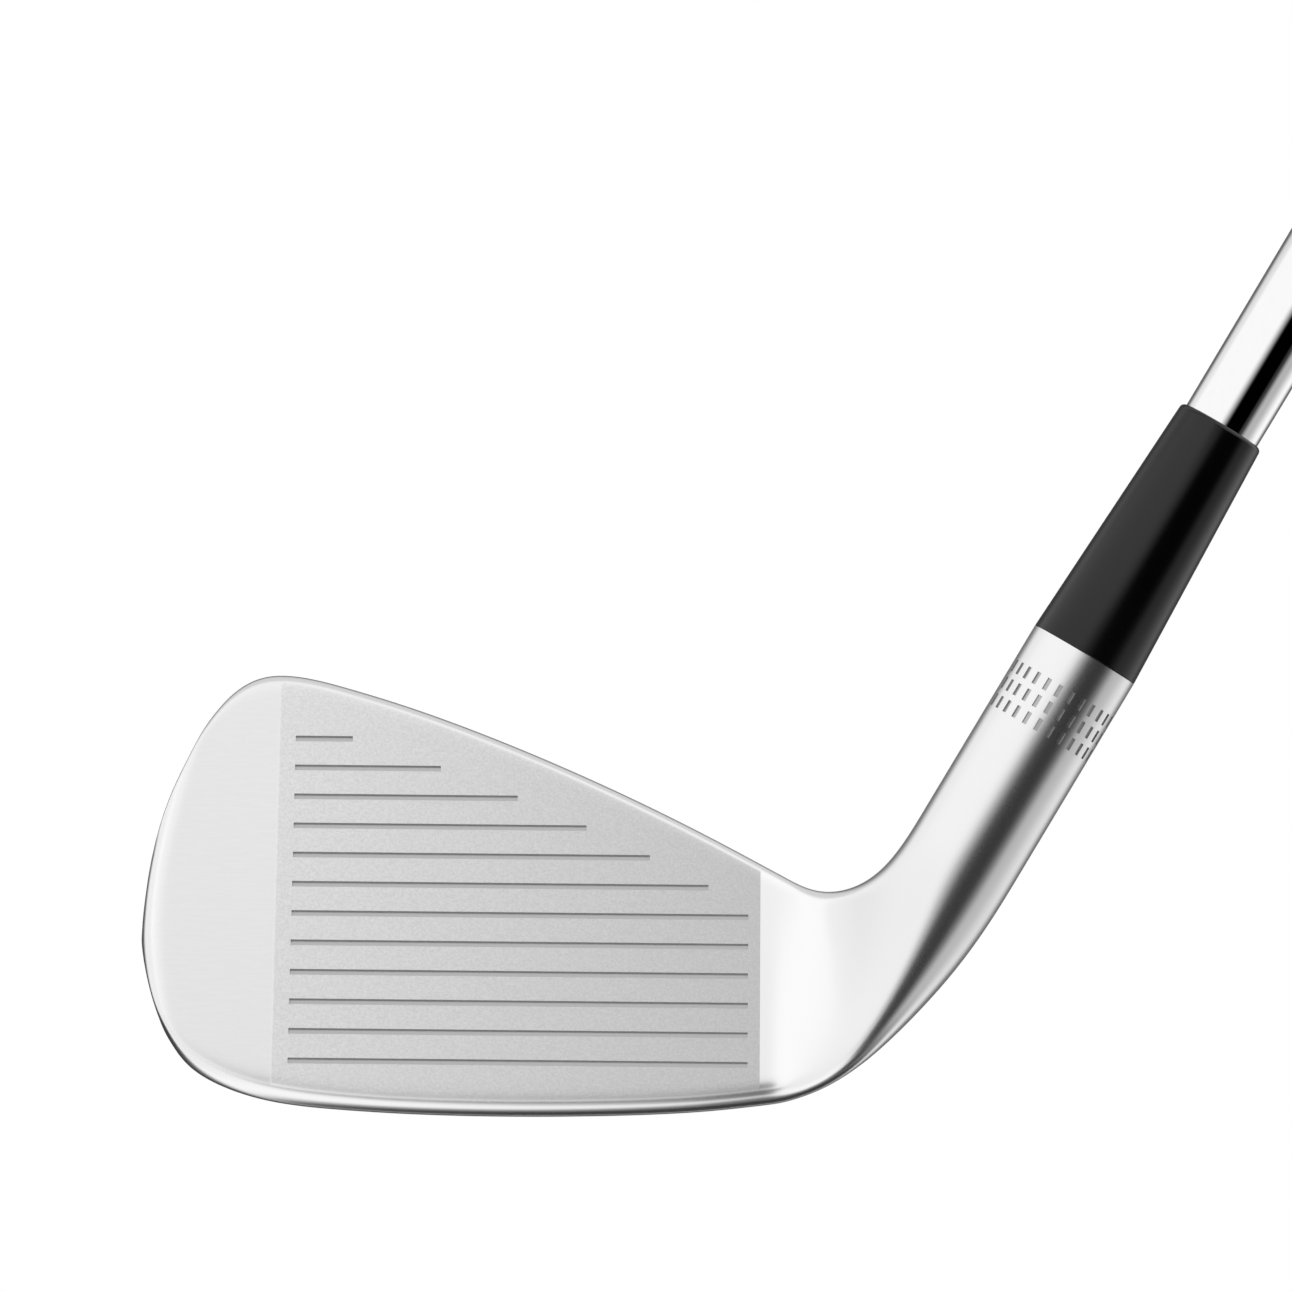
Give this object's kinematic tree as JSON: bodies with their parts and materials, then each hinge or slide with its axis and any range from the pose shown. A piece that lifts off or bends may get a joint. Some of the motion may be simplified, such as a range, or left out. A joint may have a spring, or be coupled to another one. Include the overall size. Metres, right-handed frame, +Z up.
{
  "type": "iron golf club",
  "caption": "Blade-style long iron: one-piece steel head with scored face, black ferrule, stepped steel shaft and black rubber grip.",
  "frame": {"origin": "where the shaft axis crosses the ground plane with the club soled at address", "axes": "+X from toe to heel along the scorelines, the face looks to -Y and leans back by the loft, +Z up; the shaft axis lies in the XZ plane, 59.6 degrees from +X"},
  "size_m": [0.5907, 0.0356, 0.8608],
  "materials": {
    "head_steel": "satin chrome, blasted hitting area",
    "epoxy": "cured epoxy",
    "weight_metal": "plain turned",
    "ferrule_plastic": "satin black",
    "shaft_chrome": "polished chrome",
    "band_film": "printed film, no text",
    "tape": "crepe masking tape",
    "grip_rubber": "moulded matt rubber",
    "cap_rubber": "moulded rubber"
  },
  "bodies": {
    "root": {"head": "head_steel", "hosel_glue": "epoxy", "tip_weight": "weight_metal", "ferrule": "ferrule_plastic", "shaft": "shaft_chrome", "shaft_band": "band_film", "grip_tape": "tape", "grip_sleeve": "grip_rubber", "butt_cap": "cap_rubber"}
  },
  "joints": []
}
